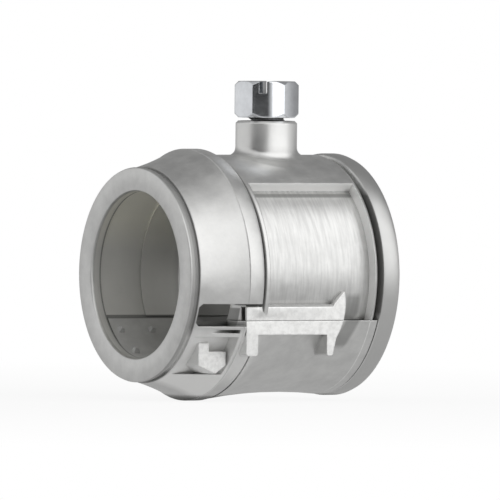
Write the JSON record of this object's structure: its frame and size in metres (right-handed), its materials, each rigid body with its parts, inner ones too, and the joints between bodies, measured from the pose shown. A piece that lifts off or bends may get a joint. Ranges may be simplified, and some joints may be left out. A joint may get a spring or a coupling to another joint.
{
  "type": "clamp screw cable connector",
  "caption": "Straight two-shell cable connector: round mouth, collar, upper shell with a clamp screw in a boss and a pressure saddle inside, rear flange ring.",
  "frame": {"origin": "centre of the front mouth, on the bore axis", "axes": "+X along the bore from front to rear, +Z along the clamp screw towards its head"},
  "size_m": [0.0341, 0.0358, 0.0455],
  "materials": {
    "cast_zinc": "as-cast satin zinc, lightly tumbled",
    "cast_zinc_cap": "as-cast satin zinc, with faint lines round the side plates",
    "liner_steel": "plain rolled steel",
    "saddle_steel": "pressed steel, zinc flash",
    "plated_screw": "bright zinc plate, slightly blue"
  },
  "bodies": {
    "housing": {"body": "cast_zinc", "cap": "cast_zinc_cap", "grip_liner": "liner_steel"},
    "saddle": {"pressure_saddle": "saddle_steel"},
    "screw": {"clamp_screw": "plated_screw"}
  },
  "joints": [
    {"name": "saddle_slide", "type": "slide", "parent": "housing", "child": "saddle", "axis": [0, 0, 1], "range_m": [-0.00026, 0.00496]},
    {"name": "screw_turn", "type": "hinge", "parent": "saddle", "child": "screw", "pos_m": [0.0219, 0, 0], "axis": [0, 0, 1], "range_deg": [-120, 2250]}
  ],
  "couplings": [
    {"joint": "screw_turn", "follows": "saddle_slide", "rad_per_m": 7915.8}
  ]
}
